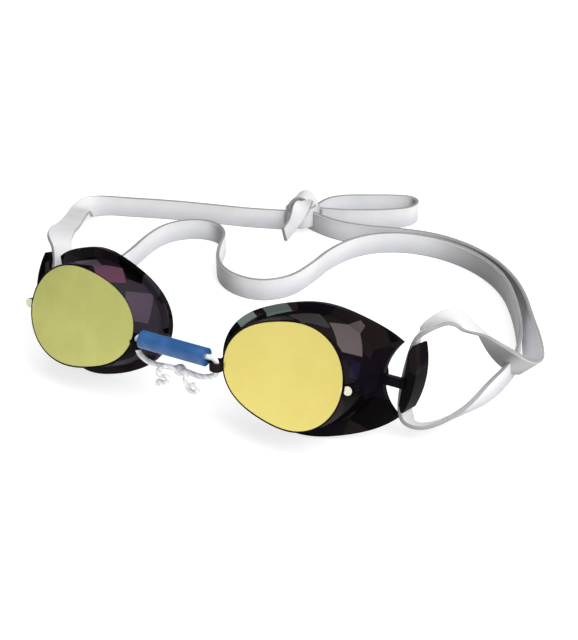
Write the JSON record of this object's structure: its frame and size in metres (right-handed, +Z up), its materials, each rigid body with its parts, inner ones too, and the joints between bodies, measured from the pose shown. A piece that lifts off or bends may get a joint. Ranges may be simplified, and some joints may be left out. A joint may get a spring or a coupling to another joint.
{
  "type": "swim goggles",
  "caption": "Racing swim goggles: mirrored smoke eyecups on a nose string with a tube, and a flat latex strap with a knot lying behind.",
  "frame": {"origin": "middle of the bottom of the eyecups' bounding box, on the table between the eyecups", "axes": "+X from the left eyecup to the right one, +Y from the lens fronts towards the back of the head, +Z up from the table"},
  "size_m": [0.1757, 0.1549, 0.0354],
  "materials": {
    "smoke_plastic": "clear dark smoke, glossy",
    "gold_mirror": "gold mirror film, slightly dull",
    "blue_tube": "soft blue, glossy",
    "nose_string": "white twisted string",
    "strap_latex": "satin white latex"
  },
  "bodies": {
    "bridge": {"nose_string": "nose_string", "nose_string_knot": "nose_string", "nose_string_left_tail": "nose_string", "nose_string_right_tail": "nose_string", "strap_front_run": "strap_latex", "strap_back_run": "strap_latex", "strap_left_back_run": "strap_latex", "strap_tail_loop": "strap_latex", "strap_tail_end": "strap_latex", "strap_knot": "strap_latex", "strap_left_upper_run": "strap_latex", "strap_left_lower_run": "strap_latex", "strap_right_upper_run": "strap_latex", "strap_right_lower_run": "strap_latex"},
    "left_cup": {"left_eyecup": "smoke_plastic", "left_mirror_coating": "gold_mirror", "strap_left_bar_loop": "strap_latex"},
    "right_cup": {"right_eyecup": "smoke_plastic", "right_mirror_coating": "gold_mirror", "strap_right_bar_loop": "strap_latex"},
    "tube": {"nose_tube": "blue_tube"}
  },
  "joints": [
    {"name": "left_cup_swing", "type": "hinge", "parent": "bridge", "child": "left_cup", "pos_m": [-0.01245, -0.0135, 0.0196], "axis": [0, 0, 1], "range_deg": [-20, 20], "deforming": ["strap_left_upper_run", "strap_left_lower_run"]},
    {"name": "right_cup_swing", "type": "hinge", "parent": "bridge", "child": "right_cup", "pos_m": [0.01245, -0.0135, 0.0196], "axis": [0, 0, 1], "range_deg": [-20, 20], "deforming": ["strap_right_upper_run", "strap_right_lower_run"]},
    {"name": "nose_tube_spin", "type": "hinge", "parent": "bridge", "child": "tube", "pos_m": [0, -0.0144, 0.02193], "axis": [1, 0, 0], "continuous": true}
  ]
}
